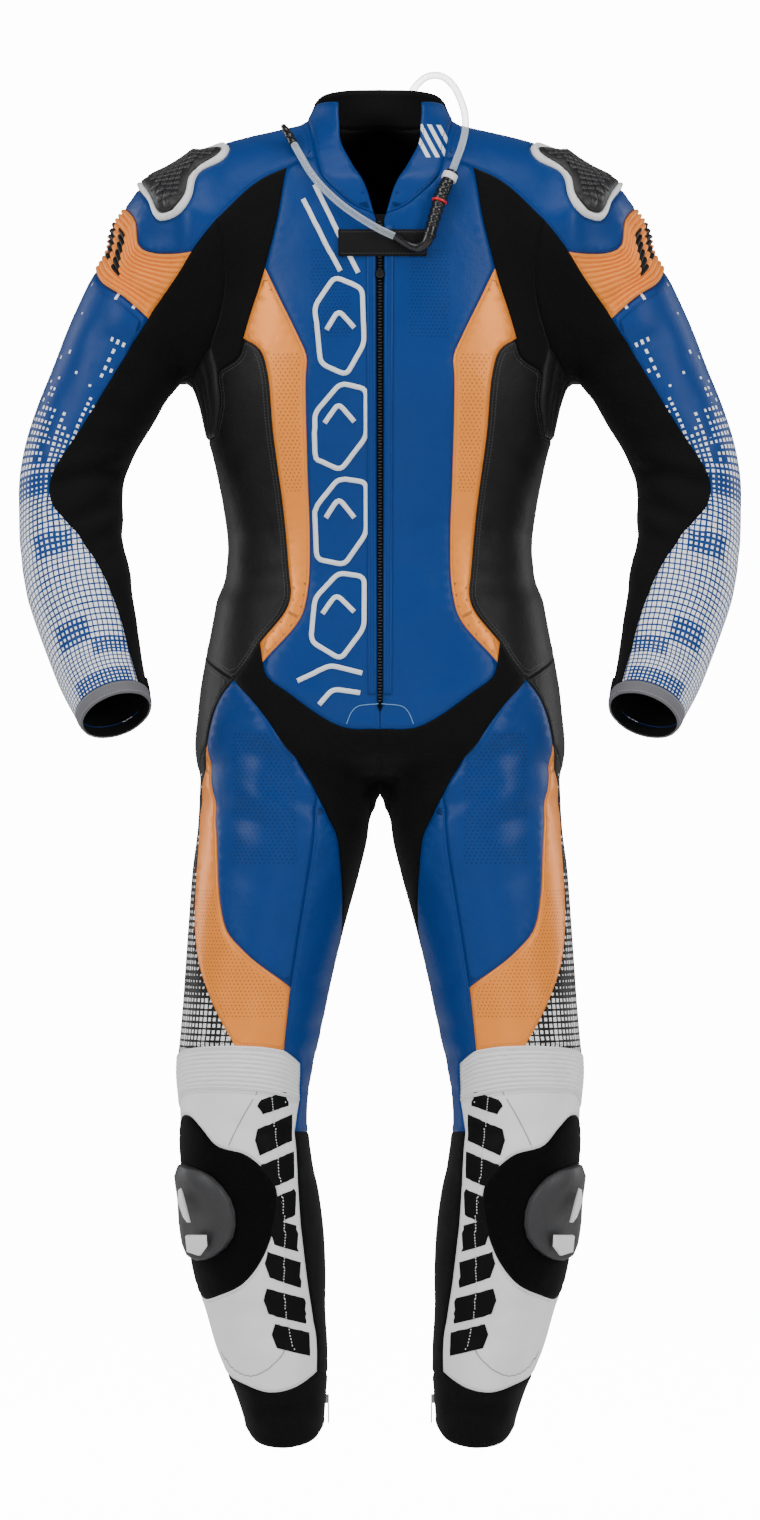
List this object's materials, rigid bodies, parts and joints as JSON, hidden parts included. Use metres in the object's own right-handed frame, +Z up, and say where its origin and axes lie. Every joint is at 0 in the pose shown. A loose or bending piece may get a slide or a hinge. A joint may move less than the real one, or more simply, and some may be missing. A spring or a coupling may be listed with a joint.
{
  "type": "motorcycle race suit",
  "caption": "Filled-out, hollow one-piece leather suit with shoulder and knee sliders, accordion ribs, front and calf zips and a drinking hose.",
  "frame": {"origin": "inside the suit at the height of the shoulder line, on the centre line between the shoulders", "axes": "+Z up, front of the suit towards -Y, +X to the wearer's left"},
  "size_m": [0.7412, 0.3314, 1.4195],
  "materials": {
    "blue_leather": "semi-gloss cowhide",
    "orange_leather": "pearl-coated cowhide",
    "white_leather": "semi-matt cowhide",
    "black_leather": "semi-matt cowhide",
    "black_stretch": "matt stretch fabric",
    "black_loop": "loop fabric",
    "printed_leather": "cowhide printed with squares",
    "gray_binding": "neoprene binding",
    "slider_plastic": "moulded",
    "zip_tape": "woven tape and moulded teeth",
    "snap_plastic": "moulded",
    "connector_plastic": "moulded",
    "clear_hose": "clear soft tube",
    "zip_metal": "dark nickel"
  },
  "bodies": {
    "root": {"front_panel_left": "blue_leather", "front_panel_right": "blue_leather", "chest_stripe_left": "orange_leather", "chest_stripe_right": "orange_leather", "chest_stretch_left": "black_stretch", "chest_stretch_right": "black_stretch", "side_leather_left": "black_leather", "side_leather_right": "black_leather", "side_ribs_left": "black_leather", "side_ribs_right": "black_leather", "shoulder_cap_left": "blue_leather", "shoulder_cap_right": "blue_leather", "shoulder_slider_left": "slider_plastic", "shoulder_slider_right": "slider_plastic", "arm_ribs_left": "orange_leather", "arm_ribs_right": "orange_leather", "sleeve_outer_left": "printed_leather", "sleeve_outer_right": "printed_leather", "sleeve_inner_left": "black_stretch", "sleeve_inner_right": "black_stretch", "cuff_left": "gray_binding", "cuff_right": "gray_binding", "collar_leaf_left": "blue_leather", "collar_leaf_right": "blue_leather", "seat_left": "black_leather", "seat_right": "black_leather", "groin_stretch_left": "black_stretch", "groin_stretch_right": "black_stretch", "thigh_front_left": "blue_leather", "thigh_front_right": "blue_leather", "thigh_inner_left": "blue_leather", "thigh_inner_right": "blue_leather", "thigh_stripe_left": "orange_leather", "thigh_stripe_right": "orange_leather", "thigh_outer_left": "printed_leather", "thigh_outer_right": "printed_leather", "knee_ribs_left": "white_leather", "knee_ribs_right": "white_leather", "shin_left": "white_leather", "shin_right": "white_leather", "knee_patch_left": "black_loop", "knee_patch_right": "black_loop", "knee_slider_left": "slider_plastic", "knee_slider_right": "slider_plastic", "calf_left": "black_stretch", "calf_right": "black_stretch", "ankle_hem_left": "black_stretch", "ankle_hem_right": "black_stretch", "collar_back": "black_leather", "back_panel": "black_leather", "hump": "blue_leather", "front_zip": "zip_tape", "snap_stud": "snap_plastic", "chest_tab": "black_loop", "hose_upper": "clear_hose", "hose_connector": "connector_plastic", "hose_lower": "clear_hose", "mouthpiece": "connector_plastic"},
    "calf_pull_left": {"calf_zip_pull_left": "zip_metal"},
    "calf_pull_right": {"calf_zip_pull_right": "zip_metal"}
  },
  "joints": [
    {"name": "calf_pull_left_hinge", "type": "hinge", "parent": "root", "child": "calf_pull_left", "pos_m": [0.0532, 0.022, -1.2937], "axis": [0, 1, 0], "range_deg": [0, 120]},
    {"name": "calf_pull_right_hinge", "type": "hinge", "parent": "root", "child": "calf_pull_right", "pos_m": [-0.0532, 0.022, -1.2937], "axis": [0, -1, 0], "range_deg": [0, 120]}
  ]
}
